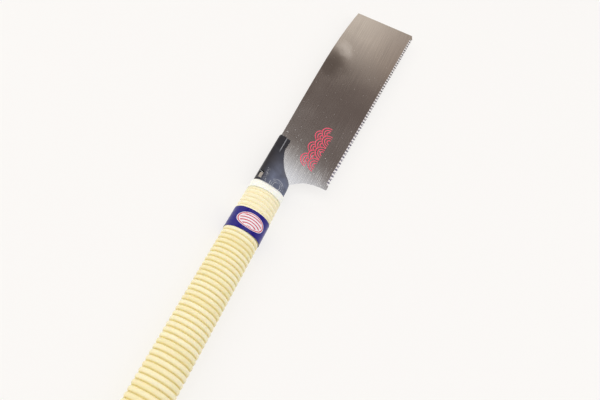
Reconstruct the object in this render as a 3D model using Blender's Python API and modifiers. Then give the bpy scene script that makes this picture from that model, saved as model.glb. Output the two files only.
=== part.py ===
"""Kataba pull saw with a blade that can be changed.

The saw lies flat: +X runs from the butt of the handle to the tip of the blade, the teeth point to -Y
and the blade's faces look up and down. The origin is the middle of the flat butt face, so the X axis is
the middle line of the handle. Lengths are in metres. "Forward" sizes named *_X are measured from the front
rim of the collar, where the handle ends and the holder comes out.
"""

import math

import bmesh
import bpy
import numpy as np
from mathutils import Matrix, Vector

# Handle
HANDLE_LENGTH = 0.285
GRIP_HALF_WIDTH = 0.0160
GRIP_HALF_DEPTH = 0.0121
SPIGOT_STEP = 0.0006
CORE_FRONT_X = -0.0065
FIT_GAP = 0.0003

# Wound cord
CORD_PITCH = 0.0044
CORD_TURN_GAP = 0.0002
CORD_THICKNESS = 0.0017
CORD_EDGE_THICKNESS = 0.0005
CORD_END_SHARE = 0.18
CORD_END_GAP = 0.00015
CORD_STEPS_PER_TURN = 12

# Collar, cap and label
COLLAR_LENGTH = 0.0103
CAP_LENGTH = 0.0120
CAP_FLOOR = 0.0040
CAP_FLAT_HALF_WIDTH = 0.0130
LABEL_START = 0.0332
LABEL_WIDTH = 0.0205
LABEL_THICKNESS = 0.00025

# Blade
BLADE_THICKNESS = 0.0006
TOOTH_PITCH = 0.0015
TOOTH_COUNT = 167
TOOTH_DEPTH = 0.0028
TOOTH_SET = 0.00016
TOOTH_BEVEL = 0.0005
TOOTH_LEAN = 0.28
TOOTH_START_X = 0.0385
TOOTH_START_Y = -0.0472
TOOTH_LINE_SLOPE = -0.0601
BACK_RISE = 0.00055
TIP_BACK_X = 0.2715
TIP_BACK_Y = 0.0090
TIP_TOOTH_X = 0.2963
HEEL_X = 0.0320

# Blade holder and the hook inside it
SHEET = 0.0010
JAW_CLEARANCE = 0.00015
BACK_GAP = 0.00025
COLLAR_WALL = 0.0010
HOLDER_FRONT_X = 0.0570
HOLDER_BULGE = 0.0062
TANG_LENGTH = 0.0450
BEAD_RISE = 0.00035
BEAD_EDGE_Y = 0.0078
WINDOW_X = 0.0023
WINDOW_LENGTH = 0.0085
WINDOW_DEPTH_IN = 0.0018
WINDOW_HEIGHT = 0.0025
PIN_X = 0.0098
PIN_Y = -0.0040
PIN_RADIUS = 0.0016
HOOK_GAP = 0.00015
BUSH_RADIUS = 0.0030
BUSH_LENGTH = 0.0030
NAIL_RADIUS = 0.0013
NAIL_MARGIN = 0.0080
NAIL_SPACING = 0.0130
BUSH_GAP = 0.00025

# Sizes that follow from those above
RING_STEPS = 32
CORD_WIDTH = CORD_PITCH - CORD_TURN_GAP
CHORD_SAG = GRIP_HALF_WIDTH * (1.0 - math.cos(math.pi / CORD_STEPS_PER_TURN))
CORE_HALF_WIDTH = GRIP_HALF_WIDTH - CORD_THICKNESS - CHORD_SAG - FIT_GAP
CORE_HALF_DEPTH = GRIP_HALF_DEPTH - CORD_THICKNESS - CHORD_SAG - FIT_GAP
SPIGOT_HALF_WIDTH = CORE_HALF_WIDTH - SPIGOT_STEP
GRIP_RATIO = GRIP_HALF_DEPTH / GRIP_HALF_WIDTH
CORE_RATIO = CORE_HALF_DEPTH / CORE_HALF_WIDTH
HOLDER_BACK_Y = GRIP_HALF_WIDTH - COLLAR_WALL
BACK_Y = HOLDER_BACK_Y - SHEET - BACK_GAP
WINDOW_LOW_Y = HOLDER_BACK_Y - WINDOW_DEPTH_IN - WINDOW_HEIGHT
NAIL_REAR_X = NAIL_MARGIN - TANG_LENGTH
NAIL_FRONT_X = NAIL_REAR_X + NAIL_SPACING


def clear_scene():
    for obj in list(bpy.data.objects):
        bpy.data.objects.remove(obj, do_unlink=True)


def collection(name, hidden=False):
    made = bpy.data.collections.new(name)
    bpy.context.scene.collection.children.link(made)
    made.hide_render = hidden
    return made


clear_scene()
PARTS = collection("kataba_saw")
CUTTERS = collection("cutters", hidden=True)


def material(name, colour, metallic, roughness):
    made = bpy.data.materials.new(name)
    made.use_nodes = True
    shader = made.node_tree.nodes["Principled BSDF"]
    shader.inputs["Base Color"].default_value = (*colour, 1.0)
    shader.inputs["Metallic"].default_value = metallic
    shader.inputs["Roughness"].default_value = roughness
    made.diffuse_color = (*colour, 1.0)
    return made


BLADE_STEEL = material("blade_steel", (0.42, 0.40, 0.38), 1.0, 0.35)
PAINTED_STEEL = material("painted_steel", (0.05, 0.05, 0.075), 0.2, 0.45)
BARE_STEEL = material("bare_steel", (0.55, 0.55, 0.54), 1.0, 0.4)
WOOD = material("core_wood", (0.55, 0.36, 0.18), 0.0, 0.7)
CREAM_CORD = material("cream_vinyl", (0.88, 0.76, 0.42), 0.0, 0.35)
CREAM_PLASTIC = material("cream_plastic", (0.92, 0.86, 0.68), 0.0, 0.4)
BLUE_FILM = material("blue_film", (0.03, 0.02, 0.30), 0.0, 0.3)


def place(name, data, finish=None, cutter=False):
    """Puts a mesh or a curve in the scene as a part, or as a hidden cutter."""
    obj = bpy.data.objects.new(name, data)
    if cutter:
        CUTTERS.objects.link(obj)
        obj.hide_render = True
        obj.display_type = "WIRE"
    else:
        PARTS.objects.link(obj)
        data.materials.append(finish)
    return obj


def from_bmesh(name, shape, finish=None, cutter=False):
    bmesh.ops.recalc_face_normals(shape, faces=shape.faces)
    mesh = bpy.data.meshes.new(name)
    shape.to_mesh(mesh)
    shape.free()
    mesh.shade_smooth()
    mesh.set_sharp_from_angle(angle=math.radians(35.0))
    return place(name, mesh, finish, cutter)


def cut(obj, cutter):
    made = obj.modifiers.new("cut_" + cutter.name, "BOOLEAN")
    made.operation = "DIFFERENCE"
    made.solver = "EXACT"
    made.object = cutter


def oval_loop(shape, x, half_width, half_depth, middle=0.0, squareness=1.0):
    """A closed loop of points in a plane across the handle. A squareness under 1 fills out the corners."""
    ring = bmesh.ops.create_circle(shape, cap_ends=False, segments=RING_STEPS, radius=1.0)["verts"]
    for vertex in ring:
        across, up = vertex.co.x, vertex.co.y
        across = math.copysign(abs(across) ** squareness, across)
        up = math.copysign(abs(up) ** squareness, up)
        vertex.co = Vector((x, middle + half_width * across, half_depth * up))
    return ring


def bridged(shape, loops, closed):
    """Joins each loop to the next. A closed chain makes a ring, an open one gets two flat ends."""
    following = loops[1:] + loops[:1] if closed else loops[1:]
    for first, second in zip(loops, following):
        for here in range(len(first)):
            there = (here + 1) % len(first)
            shape.faces.new((first[here], first[there], second[there], second[here]))
    if not closed:
        shape.faces.new(loops[0])
        shape.faces.new(loops[-1])


def turned(name, profile, ratio, finish, closed_profile=False):
    """A profile of (distance along the handle, radius) turned round the handle's middle line.

    The turned shape is then flattened by ratio across the blade's plane, which makes it oval.
    """
    shape = bmesh.new()
    points = [shape.verts.new((radius, 0.0, along)) for along, radius in profile]
    ends = points[1:] + points[:1] if closed_profile else points[1:]
    for first, second in zip(points, ends):
        shape.edges.new((first, second))
    mesh = bpy.data.meshes.new(name)
    shape.to_mesh(mesh)
    shape.free()
    obj = place(name, mesh, finish)
    obj.rotation_euler = (0.0, math.pi / 2, 0.0)
    obj.scale = (ratio, 1.0, 1.0)
    screw = obj.modifiers.new("turn", "SCREW")
    screw.axis = "Z"
    screw.steps = RING_STEPS
    screw.render_steps = RING_STEPS
    screw.use_merge_vertices = True
    screw.merge_threshold = 0.00001
    return obj


def rod(name, x, y, low, high, radius, finish=None, cutter=False, steps=20):
    """A round bar that stands up across the blade's plane."""
    shape = bmesh.new()
    bmesh.ops.create_cone(
        shape, cap_ends=True, segments=steps, radius1=radius, radius2=radius, depth=high - low,
        matrix=Matrix.Translation((x, y, (low + high) / 2)),
    )
    return from_bmesh(name, shape, finish, cutter)


def box(name, low, high):
    """A plain block, used to cut with."""
    shape = bmesh.new()
    size = Vector(high) - Vector(low)
    middle = (Vector(high) + Vector(low)) / 2
    bmesh.ops.create_cube(
        shape, size=1.0, matrix=Matrix.Translation(middle) @ Matrix.Diagonal((*size, 1.0))
    )
    return from_bmesh(name, shape, cutter=True)


# The folded holder, section by section from the jaws to the end of its tang.
# Each row: forward position, outer edge at the fold, free edge on the tooth side, half thickness outside.
FLAT = SHEET + JAW_CLEARANCE + BLADE_THICKNESS / 2
HOLDER_ROWS = np.array([
    (HOLDER_FRONT_X, HOLDER_BACK_Y - 0.0004, 0.0038, FLAT),
    (HOLDER_FRONT_X - 0.002, HOLDER_BACK_Y, 0.0036, FLAT),
    (0.0450, HOLDER_BACK_Y, 0.0040, FLAT),
    (0.0400, HOLDER_BACK_Y, 0.0030, FLAT + 0.00005),
    (0.0343, HOLDER_BACK_Y, 0.0010, FLAT + 0.07 * HOLDER_BULGE),
    (0.0286, HOLDER_BACK_Y, -0.0020, FLAT + 0.20 * HOLDER_BULGE),
    (0.0224, HOLDER_BACK_Y, -0.0064, FLAT + 0.38 * HOLDER_BULGE),
    (0.0161, HOLDER_BACK_Y, 0.0024 - HOLDER_BACK_Y, FLAT + 0.55 * HOLDER_BULGE),
    (0.0123, HOLDER_BACK_Y, 0.0004 - HOLDER_BACK_Y, FLAT + 0.64 * HOLDER_BULGE),
    (0.0060, HOLDER_BACK_Y, -HOLDER_BACK_Y, FLAT + 0.74 * HOLDER_BULGE),
    (0.0000, HOLDER_BACK_Y - 0.0001, 0.0001 - HOLDER_BACK_Y, HOLDER_BULGE),
    (-0.0030, HOLDER_BACK_Y - 0.0014, 0.0014 - HOLDER_BACK_Y, 0.87 * HOLDER_BULGE),
    (-0.0060, HOLDER_BACK_Y - 0.0035, 0.0035 - HOLDER_BACK_Y, 0.58 * HOLDER_BULGE),
    (-0.0090, HOLDER_BACK_Y - 0.0048, 0.0048 - HOLDER_BACK_Y, FLAT + 0.12 * HOLDER_BULGE),
    (-0.0120, HOLDER_BACK_Y - 0.0053, 0.0053 - HOLDER_BACK_Y, FLAT),
    (-TANG_LENGTH, HOLDER_BACK_Y - 0.0070, 0.0070 - HOLDER_BACK_Y, FLAT),
])
HOLDER_STATIONS = np.concatenate([
    np.linspace(HOLDER_FRONT_X, HOLDER_FRONT_X - 0.002, 2),
    np.linspace(0.050, 0.0, 17),
    np.linspace(-0.0015, -0.012, 8),
    np.linspace(-0.0285, -TANG_LENGTH, 2),
])
HALF_STEPS = 11


def smooth_step(value, low, high):
    share = np.clip((value - low) / (high - low), 0.0, 1.0)
    return share * share * (3.0 - 2.0 * share)


def holder_row(forward):
    """Fold edge, free edge and half thickness at one forward position."""
    order = np.argsort(HOLDER_ROWS[:, 0])
    rows = HOLDER_ROWS[order]
    return [float(np.interp(forward, rows[:, 0], rows[:, k])) for k in (1, 2, 3)]


def holder_point(forward, share):
    """A point in the middle of the sheet. Share runs from 0 on the fold to 1 on the free edge."""
    fold, free, thick = holder_row(forward)
    top = fold - SHEET / 2
    free += SHEET / 2 * min(1.0, (thick - FLAT) / 0.003)
    middle, reach = (top + free) / 2, (top - free) / 2
    y = middle + reach * math.cos(math.pi * share)
    flat = FLAT - SHEET / 2
    bend = min(1.0, (top - y) / flat)
    z = flat * math.sqrt(max(0.0, 1.0 - (1.0 - bend) ** 2))
    z += (thick - SHEET / 2 - flat) * math.sin(math.pi * share)
    bead = smooth_step(y, BEAD_EDGE_Y - 0.0004, BEAD_EDGE_Y + 0.0004)
    bead *= smooth_step(top - y, 0.0003, 0.0020) * smooth_step(forward, 0.0370, 0.0430)
    return y, z + BEAD_RISE * bead


def holder_inside(forward, y):
    """Half of the free room between the two cheeks at a point of the blade's plane."""
    shares = np.linspace(0.0, 1.0, 200)
    line = np.array([holder_point(forward, share) for share in shares])
    return float(np.interp(y, line[::-1, 0], line[::-1, 1])) - SHEET / 2


def make_holder():
    """One sheet, folded along the blade's back: a grid laid over the fold, then given its thickness."""
    shape = bmesh.new()
    rows, columns = len(HOLDER_STATIONS), 2 * HALF_STEPS + 1
    bmesh.ops.create_grid(shape, x_segments=rows - 1, y_segments=columns - 1, size=1.0)
    for vertex in shape.verts:
        row = round((vertex.co.x + 1.0) / 2.0 * (rows - 1))
        column = round((vertex.co.y + 1.0) / 2.0 * (columns - 1)) - HALF_STEPS
        forward = float(HOLDER_STATIONS[row])
        y, z = holder_point(forward, abs(column) / HALF_STEPS)
        vertex.co = Vector((HANDLE_LENGTH + forward, y, math.copysign(z, column) if column else 0.0))
    obj = from_bmesh("blade_holder", shape, PAINTED_STEEL)
    sheet = obj.modifiers.new("sheet", "SOLIDIFY")
    sheet.thickness = SHEET
    sheet.offset = 0.0
    sheet.use_even_offset = True
    sheet.thickness_clamp = 1.0
    window = box(
        "window_cutter",
        (HANDLE_LENGTH + WINDOW_X, WINDOW_LOW_Y, -0.02),
        (HANDLE_LENGTH + WINDOW_X + WINDOW_LENGTH, WINDOW_LOW_Y + WINDOW_HEIGHT, 0.02),
    )
    cut(obj, window)
    for number, forward in enumerate((NAIL_FRONT_X, NAIL_REAR_X)):
        cut(obj, rod(f"tang_hole_cutter_{number}", HANDLE_LENGTH + forward, 0.0, -0.006, 0.006,
                     NAIL_RADIUS + FIT_GAP, cutter=True))
    return obj


def tooth_line(along):
    """The line of the tooth points at a distance along it from the first tooth."""
    run = 1.0 / math.hypot(1.0, TOOTH_LINE_SLOPE)
    return TOOTH_START_X + along * run, TOOTH_START_Y + along * run * TOOTH_LINE_SLOPE


def back_line():
    """The blade's back from the slanted tip to the holder: a slight hump, then a fall to the tip."""
    share = np.linspace(0.0, 1.0, 13)[1:]
    forward = TIP_BACK_X + (PIN_X + PIN_RADIUS + HOOK_GAP - TIP_BACK_X) * share ** 1.15
    hump = BACK_Y + BACK_RISE * smooth_step(forward, HOLDER_FRONT_X, HOLDER_FRONT_X + 0.07)
    fall = np.clip((forward - 0.160) / (TIP_BACK_X - 0.160), 0.0, 1.0) ** 2.2
    height = hump + (TIP_BACK_Y - BACK_Y - BACK_RISE) * fall
    return [(TIP_BACK_X, TIP_BACK_Y)] + list(zip(forward.tolist(), height.tolist()))


def blade_outline():
    """The blade without its teeth, from the tip along the back, round the hook and back along the heel."""
    slot = PIN_RADIUS + HOOK_GAP
    hook = [
        (PIN_X + slot * math.cos(angle), PIN_Y + slot * math.sin(angle))
        for angle in np.linspace(0.0, -math.pi, 9)
    ]
    finger_back = PIN_X - 0.0073
    outline = back_line() + hook + [
        (PIN_X - slot, BACK_Y - 0.0003),
        (PIN_X - 0.0050, BACK_Y - 0.0006),
        (finger_back + 0.0003, BACK_Y - 0.0013),
        (finger_back, BACK_Y - 0.0020),
        (finger_back, PIN_Y - 0.0010),
        (finger_back + 0.0008, PIN_Y - 0.0050),
        (finger_back + 0.0030, PIN_Y - 0.0068),
        (PIN_X - 0.0018, PIN_Y - 0.0077),
        (PIN_X + 0.0022, PIN_Y - 0.0090),
        (PIN_X + 0.0055, PIN_Y - 0.0110),
        (HEEL_X - 0.0118, -0.0195),
        (HEEL_X - 0.0073, -0.0247),
        (HEEL_X - 0.0046, -0.0295),
        (HEEL_X - 0.0026, -0.0342),
        (HEEL_X - 0.0008, -0.0407),
        (HEEL_X, TOOTH_START_Y + 0.0010),
        (HEEL_X + 0.0006, TOOTH_START_Y + 0.0005),
        (TOOTH_START_X - 0.0012, TOOTH_START_Y + 0.0001),
    ]
    return outline


def make_blade():
    """A flat plate with a row of teeth, each bent to one side in turn and filed to a point on that side."""
    down = Vector((TOOTH_LINE_SLOPE, -1.0)).normalized()
    outline = [Vector(point) for point in blade_outline()]
    roots, points = [], []
    for number in range(TOOTH_COUNT + 1):
        roots.append(Vector(tooth_line(number * TOOTH_PITCH)) - down * TOOTH_DEPTH)
    for number in range(TOOTH_COUNT):
        points.append(Vector(tooth_line((number + TOOTH_LEAN) * TOOTH_PITCH)))
    end_x, end_y = tooth_line(TOOTH_COUNT * TOOTH_PITCH + 0.0010)
    tip = [
        Vector((end_x, end_y)),
        Vector((end_x + 0.0008, end_y + 0.0001)),
        Vector((TIP_TOOTH_X, end_y + 0.0023)),
    ]
    half = BLADE_THICKNESS / 2
    shape = bmesh.new()

    def pair(point):
        x, y = HANDLE_LENGTH + point.x, point.y
        return shape.verts.new((x, y, half)), shape.verts.new((x, y, -half))

    rim = [pair(point) for point in outline + roots + tip]
    first_root = len(outline)
    shape.faces.new([upper for upper, lower in rim])
    shape.faces.new([lower for upper, lower in reversed(rim)])
    for index, (upper, lower) in enumerate(rim):
        next_upper, next_lower = rim[(index + 1) % len(rim)]
        tooth = index - first_root
        if not 0 <= tooth < TOOTH_COUNT:
            shape.faces.new((upper, lower, next_lower, next_upper))
            continue
        side = 1.0 if tooth % 2 else -1.0
        sharp, blunt = points[tooth], points[tooth] - down * TOOTH_BEVEL
        high, low = (sharp, blunt) if side > 0 else (blunt, sharp)
        over = shape.verts.new((HANDLE_LENGTH + high.x, high.y, half + side * TOOTH_SET))
        under = shape.verts.new((HANDLE_LENGTH + low.x, low.y, -half + side * TOOTH_SET))
        shape.faces.new((upper, over, next_upper))
        shape.faces.new((lower, next_lower, under))
        shape.faces.new((upper, lower, under, over))
        shape.faces.new((over, under, next_lower, next_upper))
    shape.normal_update()
    bmesh.ops.triangulate(shape, faces=shape.faces, ngon_method="BEAUTY")
    pin_axis = Vector((HANDLE_LENGTH + PIN_X, PIN_Y, 0.0))
    bmesh.ops.translate(shape, verts=shape.verts, vec=-pin_axis)
    obj = from_bmesh("saw_blade", shape, BLADE_STEEL)
    obj.location = pin_axis
    return obj


def make_core():
    """The wooden stick, with a thinner spigot at each end for the collar and the cap."""
    front = HANDLE_LENGTH + CORE_FRONT_X
    shoulder = HANDLE_LENGTH - COLLAR_LENGTH - FIT_GAP
    rear_shoulder = CAP_LENGTH + FIT_GAP
    rear = CAP_FLOOR + FIT_GAP
    core = turned("handle_core", [
        (front, 0.0),
        (front, SPIGOT_HALF_WIDTH - 0.0006),
        (front - 0.0006, SPIGOT_HALF_WIDTH),
        (shoulder, SPIGOT_HALF_WIDTH),
        (shoulder, CORE_HALF_WIDTH),
        (rear_shoulder, CORE_HALF_WIDTH),
        (rear_shoulder, SPIGOT_HALF_WIDTH),
        (rear, SPIGOT_HALF_WIDTH),
        (rear, 0.0),
    ], CORE_RATIO, WOOD)
    shape = bmesh.new()
    loops = []
    for forward in (CORE_FRONT_X + 0.003, -0.0060, -0.0090, -0.0120, -TANG_LENGTH - 0.0003):
        fold, free, thick = holder_row(forward)
        loops.append(oval_loop(shape, HANDLE_LENGTH + forward, (fold - free) / 2 + FIT_GAP,
                               thick + FIT_GAP, (fold + free) / 2, squareness=0.3))
    bridged(shape, loops, closed=False)
    cut(core, from_bmesh("tang_slot_cutter", shape, cutter=True))
    for number, forward in enumerate((NAIL_FRONT_X, NAIL_REAR_X)):
        cut(core, rod(f"core_hole_cutter_{number}", HANDLE_LENGTH + forward, 0.0, -0.02, 0.02,
                      NAIL_RADIUS + FIT_GAP, cutter=True))
    return core


def make_nails():
    reach = CORE_HALF_DEPTH - 0.0004
    for name, forward in (("shank_nail_front", NAIL_FRONT_X), ("shank_nail_rear", NAIL_REAR_X)):
        rod(name, HANDLE_LENGTH + forward, 0.0, -reach, reach, NAIL_RADIUS, BARE_STEEL)


def make_hook_pin():
    """The pin that the blade's hook catches, and two bushes on it that keep the thin tang in the middle."""
    room = min(
        holder_inside(PIN_X + PIN_RADIUS * math.cos(turn), PIN_Y + PIN_RADIUS * math.sin(turn))
        for turn in np.linspace(0.0, 2 * math.pi, 9)
    )
    half = room - 0.00015
    rod("hook_pin", HANDLE_LENGTH + PIN_X, PIN_Y, -half, half, PIN_RADIUS, BARE_STEEL)
    low = BLADE_THICKNESS / 2 + BUSH_GAP
    high = low + BUSH_LENGTH
    for name, side in (("pin_bush_upper", 1.0), ("pin_bush_lower", -1.0)):
        shape = bmesh.new()
        loops = []
        for radius, height in (
            (BUSH_RADIUS, low), (BUSH_RADIUS, high), (PIN_RADIUS + BUSH_GAP, high), (PIN_RADIUS + BUSH_GAP, low)
        ):
            loops.append(bmesh.ops.create_circle(
                shape, cap_ends=False, segments=24, radius=radius,
                matrix=Matrix.Translation((HANDLE_LENGTH + PIN_X, PIN_Y, side * height)),
            )["verts"])
        bridged(shape, loops, closed=True)
        from_bmesh(name, shape, BARE_STEEL)


def make_collar():
    """A smooth ring whose round shoulder closes in from the full grip to the flat holder."""
    shape = bmesh.new()
    outside = [
        (0.0, GRIP_HALF_WIDTH - 0.00025, HOLDER_BULGE + 0.0010, 0.85),
        (-0.0010, GRIP_HALF_WIDTH - 0.00015, 0.68 * GRIP_HALF_DEPTH, 0.88),
        (-0.0025, GRIP_HALF_WIDTH - 0.00005, 0.82 * GRIP_HALF_DEPTH, 0.94),
        (-0.0045, GRIP_HALF_WIDTH, 0.94 * GRIP_HALF_DEPTH, 1.0),
        (-0.0065, GRIP_HALF_WIDTH, 0.985 * GRIP_HALF_DEPTH, 1.0),
        (-0.0085, GRIP_HALF_WIDTH, GRIP_HALF_DEPTH, 1.0),
        (-COLLAR_LENGTH, GRIP_HALF_WIDTH, GRIP_HALF_DEPTH, 1.0),
    ]
    spigot_width = SPIGOT_HALF_WIDTH + FIT_GAP
    spigot_depth = SPIGOT_HALF_WIDTH * CORE_RATIO + FIT_GAP
    inside = [
        (-COLLAR_LENGTH, spigot_width, spigot_depth, 1.0),
        (CORE_FRONT_X + FIT_GAP, spigot_width, spigot_depth, 1.0),
        (CORE_FRONT_X + 0.0012, SPIGOT_HALF_WIDTH, HOLDER_BULGE + 0.0003, 0.85),
        (-0.0026, HOLDER_BACK_Y - 0.0008, HOLDER_BULGE + 0.0003, 0.85),
        (0.0, HOLDER_BACK_Y + 0.0003, HOLDER_BULGE + 0.0003, 0.85),
    ]
    loops = [
        oval_loop(shape, HANDLE_LENGTH + x, width, depth, squareness=fullness)
        for x, width, depth, fullness in outside + inside
    ]
    bridged(shape, loops, closed=True)
    return from_bmesh("front_collar", shape, CREAM_PLASTIC)


def make_cap():
    """A cup over the rear spigot. Its flat bottom is the butt of the saw."""
    width = GRIP_HALF_WIDTH
    hole = SPIGOT_HALF_WIDTH + FIT_GAP
    return turned("end_cap", [
        (CAP_FLOOR, 0.0),
        (CAP_FLOOR, hole),
        (CAP_LENGTH, hole),
        (CAP_LENGTH, width),
        (0.0050, width),
        (0.0022, 0.97 * width),
        (0.0006, 0.90 * width),
        (0.0, CAP_FLAT_HALF_WIDTH),
        (0.0, 0.0),
    ], GRIP_RATIO, CREAM_PLASTIC)


def make_label():
    """A thin film sleeve round the winding."""
    front = HANDLE_LENGTH - LABEL_START
    rear = front - LABEL_WIDTH
    inner = GRIP_HALF_WIDTH + 0.0001
    outer = inner + LABEL_THICKNESS
    ring = [(front, inner), (front, outer), (rear, outer), (rear, inner)]
    return turned("label_band", ring, GRIP_RATIO + 0.003, BLUE_FILM, closed_profile=True)


def make_cord():
    """One half-round cord wound round the core from the collar to the cap, turn beside turn.

    The first and the last turn are cut to a long taper, so that the winding ends square on the collar and cap.
    """
    width = CORD_WIDTH / 2
    profile = bpy.data.curves.new("cord_profile", "CURVE")
    profile.dimensions = "2D"
    section = [
        (0.0, -width),
        (CORD_EDGE_THICKNESS, -width),
        (CORD_THICKNESS, 0.0),
        (CORD_EDGE_THICKNESS, width),
        (0.0, width),
    ]
    line = profile.splines.new("POLY")
    line.points.add(len(section) - 1)
    for point, (out, along) in zip(line.points, section):
        point.co = (out, along, 0.0, 1.0)
    line.use_cyclic_u = True
    guide = bpy.data.objects.new("cord_profile", profile)
    CUTTERS.objects.link(guide)
    guide.hide_render = True

    front = HANDLE_LENGTH - COLLAR_LENGTH - CORD_END_GAP
    rear = CAP_LENGTH + CORD_END_GAP
    turns = (front - rear - CORD_WIDTH) / CORD_PITCH + 2.0
    count = int(round((turns - 2 * CORD_END_SHARE) * CORD_STEPS_PER_TURN)) + 1
    turn = np.linspace(CORD_END_SHARE, turns - CORD_END_SHARE, count)
    taper = np.clip(np.minimum(turn, turns - turn), 0.0, 1.0)
    front_edge = front - CORD_PITCH * np.clip(turn - 1.0, 0.0, None)
    rear_edge = rear + CORD_PITCH * np.clip(turns - 1.0 - turn, 0.0, None)
    along = np.where(turn < turns / 2, front_edge - width * taper, rear_edge + width * taper)
    angle = turn * 2 * math.pi
    route = bpy.data.curves.new("cord_route", "CURVE")
    route.dimensions = "3D"
    route.twist_mode = "Z_UP"
    route.bevel_mode = "OBJECT"
    route.bevel_object = guide
    route.use_fill_caps = True
    spline = route.splines.new("POLY")
    spline.points.add(count - 1)
    seat_width, seat_depth = GRIP_HALF_WIDTH - CORD_THICKNESS, GRIP_HALF_DEPTH - CORD_THICKNESS
    values = np.column_stack([-seat_depth * np.sin(angle), seat_width * np.cos(angle), along, np.ones(count)])
    spline.points.foreach_set("co", values.ravel())
    spline.points.foreach_set("radius", taper)
    wound = bpy.data.objects.new("cord_route", route)
    CUTTERS.objects.link(wound)
    wound.hide_render = True
    bpy.context.view_layer.update()
    evaluated = wound.evaluated_get(bpy.context.evaluated_depsgraph_get())
    mesh = bpy.data.meshes.new_from_object(evaluated)
    shape = bmesh.new()
    shape.from_mesh(mesh)
    bmesh.ops.remove_doubles(shape, verts=shape.verts, dist=0.000005)
    bmesh.ops.transform(shape, matrix=Matrix.Rotation(math.pi / 2, 4, "Y"), verts=shape.verts)
    return from_bmesh("grip_cord", shape, CREAM_CORD)


make_blade()
make_holder()
make_hook_pin()
make_core()
make_nails()
make_collar()
make_cord()
make_label()
make_cap()
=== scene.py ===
"""Looks of a single-edged pull saw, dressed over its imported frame.

The saw lies flat. +X runs from the butt of the handle to the tip of the blade, the teeth point to -Y and the
blade's faces look up and down. Lengths are in metres, and "forward" is measured from the front rim of the
collar, where the handle ends and the holder of the blade comes out.
"""

import logging
import math
from collections.abc import Callable, Mapping, Sequence
from dataclasses import dataclass
from enum import Enum
from functools import partial

import bpy
import numpy as np
from mathutils import Matrix, Vector

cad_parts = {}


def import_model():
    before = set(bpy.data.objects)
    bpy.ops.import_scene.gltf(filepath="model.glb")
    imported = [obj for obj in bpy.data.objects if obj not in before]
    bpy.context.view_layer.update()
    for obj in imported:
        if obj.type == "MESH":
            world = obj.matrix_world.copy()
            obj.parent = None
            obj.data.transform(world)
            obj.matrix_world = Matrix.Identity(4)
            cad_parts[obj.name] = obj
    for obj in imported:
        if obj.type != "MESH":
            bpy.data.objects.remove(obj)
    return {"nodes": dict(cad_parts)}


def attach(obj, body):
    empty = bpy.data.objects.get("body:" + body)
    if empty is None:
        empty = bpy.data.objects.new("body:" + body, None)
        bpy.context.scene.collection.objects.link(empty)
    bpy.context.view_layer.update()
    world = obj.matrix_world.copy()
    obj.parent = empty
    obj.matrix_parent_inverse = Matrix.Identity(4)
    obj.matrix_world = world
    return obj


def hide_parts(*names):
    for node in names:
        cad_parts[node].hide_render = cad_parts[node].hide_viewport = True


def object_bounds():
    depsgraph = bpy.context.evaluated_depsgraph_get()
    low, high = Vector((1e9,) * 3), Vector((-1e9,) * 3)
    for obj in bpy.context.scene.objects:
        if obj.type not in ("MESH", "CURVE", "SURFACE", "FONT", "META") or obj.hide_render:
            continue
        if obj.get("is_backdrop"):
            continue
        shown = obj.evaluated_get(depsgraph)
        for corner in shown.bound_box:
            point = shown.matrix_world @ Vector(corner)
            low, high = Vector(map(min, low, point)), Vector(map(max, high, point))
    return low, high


LOG = logging.getLogger("pull_saw")
MM = 0.001
HANDLE_LENGTH = 0.285
FULL_TURN = 2.0 * math.pi
# Most values of a noise lie between these two.
MIDDLE = (0.3, 0.7)
# Settings of a Mix node for colours: its input 0 goes from the colour at 6 to the colour at 7.
BLEND = {"out": 2, "data_type": "RGBA"}
# Setting of a Map Range node, whose inputs are value, from, from, to and to: level at both ends.
SOFT = {"interpolation_type": "SMOOTHSTEP"}

Pair = tuple[float, float]
Point = tuple[float, float, float]
Feed = Mapping[str | int, object] | Sequence[object]
AddNode = Callable[..., bpy.types.NodeSocket]


class Body(Enum):
    """The two rigid bodies of the saw."""

    HANDLE = "handle"
    BLADE = "blade"


class Slot(Enum):
    """The record's material slots, named for the new pieces."""

    BLADE_STEEL = "blade_steel"
    PAINTED_STEEL = "painted_steel"
    BARE_STEEL = "bare_steel"
    CREAM_VINYL = "cream_vinyl"
    CREAM_PLASTIC = "cream_plastic"
    BLUE_FILM = "blue_film"


class Wrap(Enum):
    """Which ends of a grid of points are joined to each other."""

    NONE = (False, False)
    COLUMNS = (False, True)
    BOTH = (True, True)


def linear(colour: str) -> tuple[float, float, float, float]:
    """Turns a colour to linear light.

    Args:
        colour: an sRGB hex value such as "#c0ffee".

    Returns:
        Linear red, green, blue and an alpha of 1.
    """
    shares = np.array([int(colour[k:k + 2], 16) for k in (1, 3, 5)]) / 255.0
    light = np.where(shares <= 0.04045, shares / 12.92, ((shares + 0.055) / 1.055) ** 2.4)
    return (*light.tolist(), 1.0)


def per_metre(size_mm: float) -> float:
    """The scale of a pattern whose features are this many millimetres apart."""
    return 1000.0 / size_mm


def smooth_step(value: np.ndarray, low: float, high: float) -> np.ndarray:
    """Goes from 0 at low to 1 at high, level at both ends: 3s^2 - 2s^3 of the clipped share s."""
    share = np.clip((value - low) / (high - low), 0.0, 1.0)
    return share * share * (3.0 - 2.0 * share)


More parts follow.
